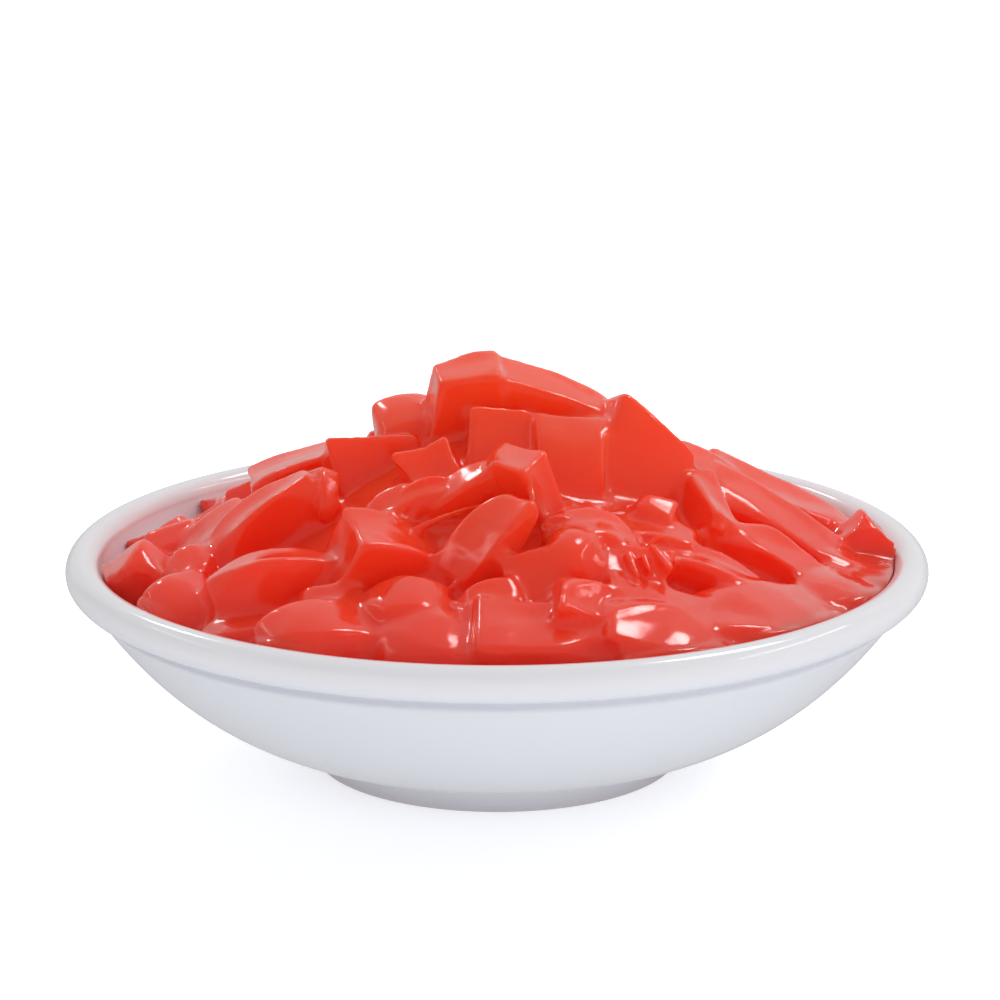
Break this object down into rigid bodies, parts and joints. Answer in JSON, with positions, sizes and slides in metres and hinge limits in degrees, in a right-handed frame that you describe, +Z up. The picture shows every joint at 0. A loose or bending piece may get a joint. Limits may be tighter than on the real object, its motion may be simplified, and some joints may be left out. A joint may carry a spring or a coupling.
{
  "type": "dish of jelly pieces",
  "caption": "Shallow round white glazed dish with a rolled rim and a low foot ring, heaped with broken and cut pieces of glossy red jelly.",
  "frame": {"origin": "centre of the dish's foot ring, on the surface that the dish stands on", "axes": "+Z up through the middle of the dish; -Y towards the side where the small, low pieces of jelly lie; +X towards the long sloping slabs"},
  "size_m": [0.15, 0.15, 0.0717],
  "materials": {
    "glaze": "smooth white glaze with a slightly cool cast",
    "jelly": null
  },
  "bodies": {
    "root": {"dish": "glaze", "jelly_heap": "jelly"}
  },
  "joints": []
}
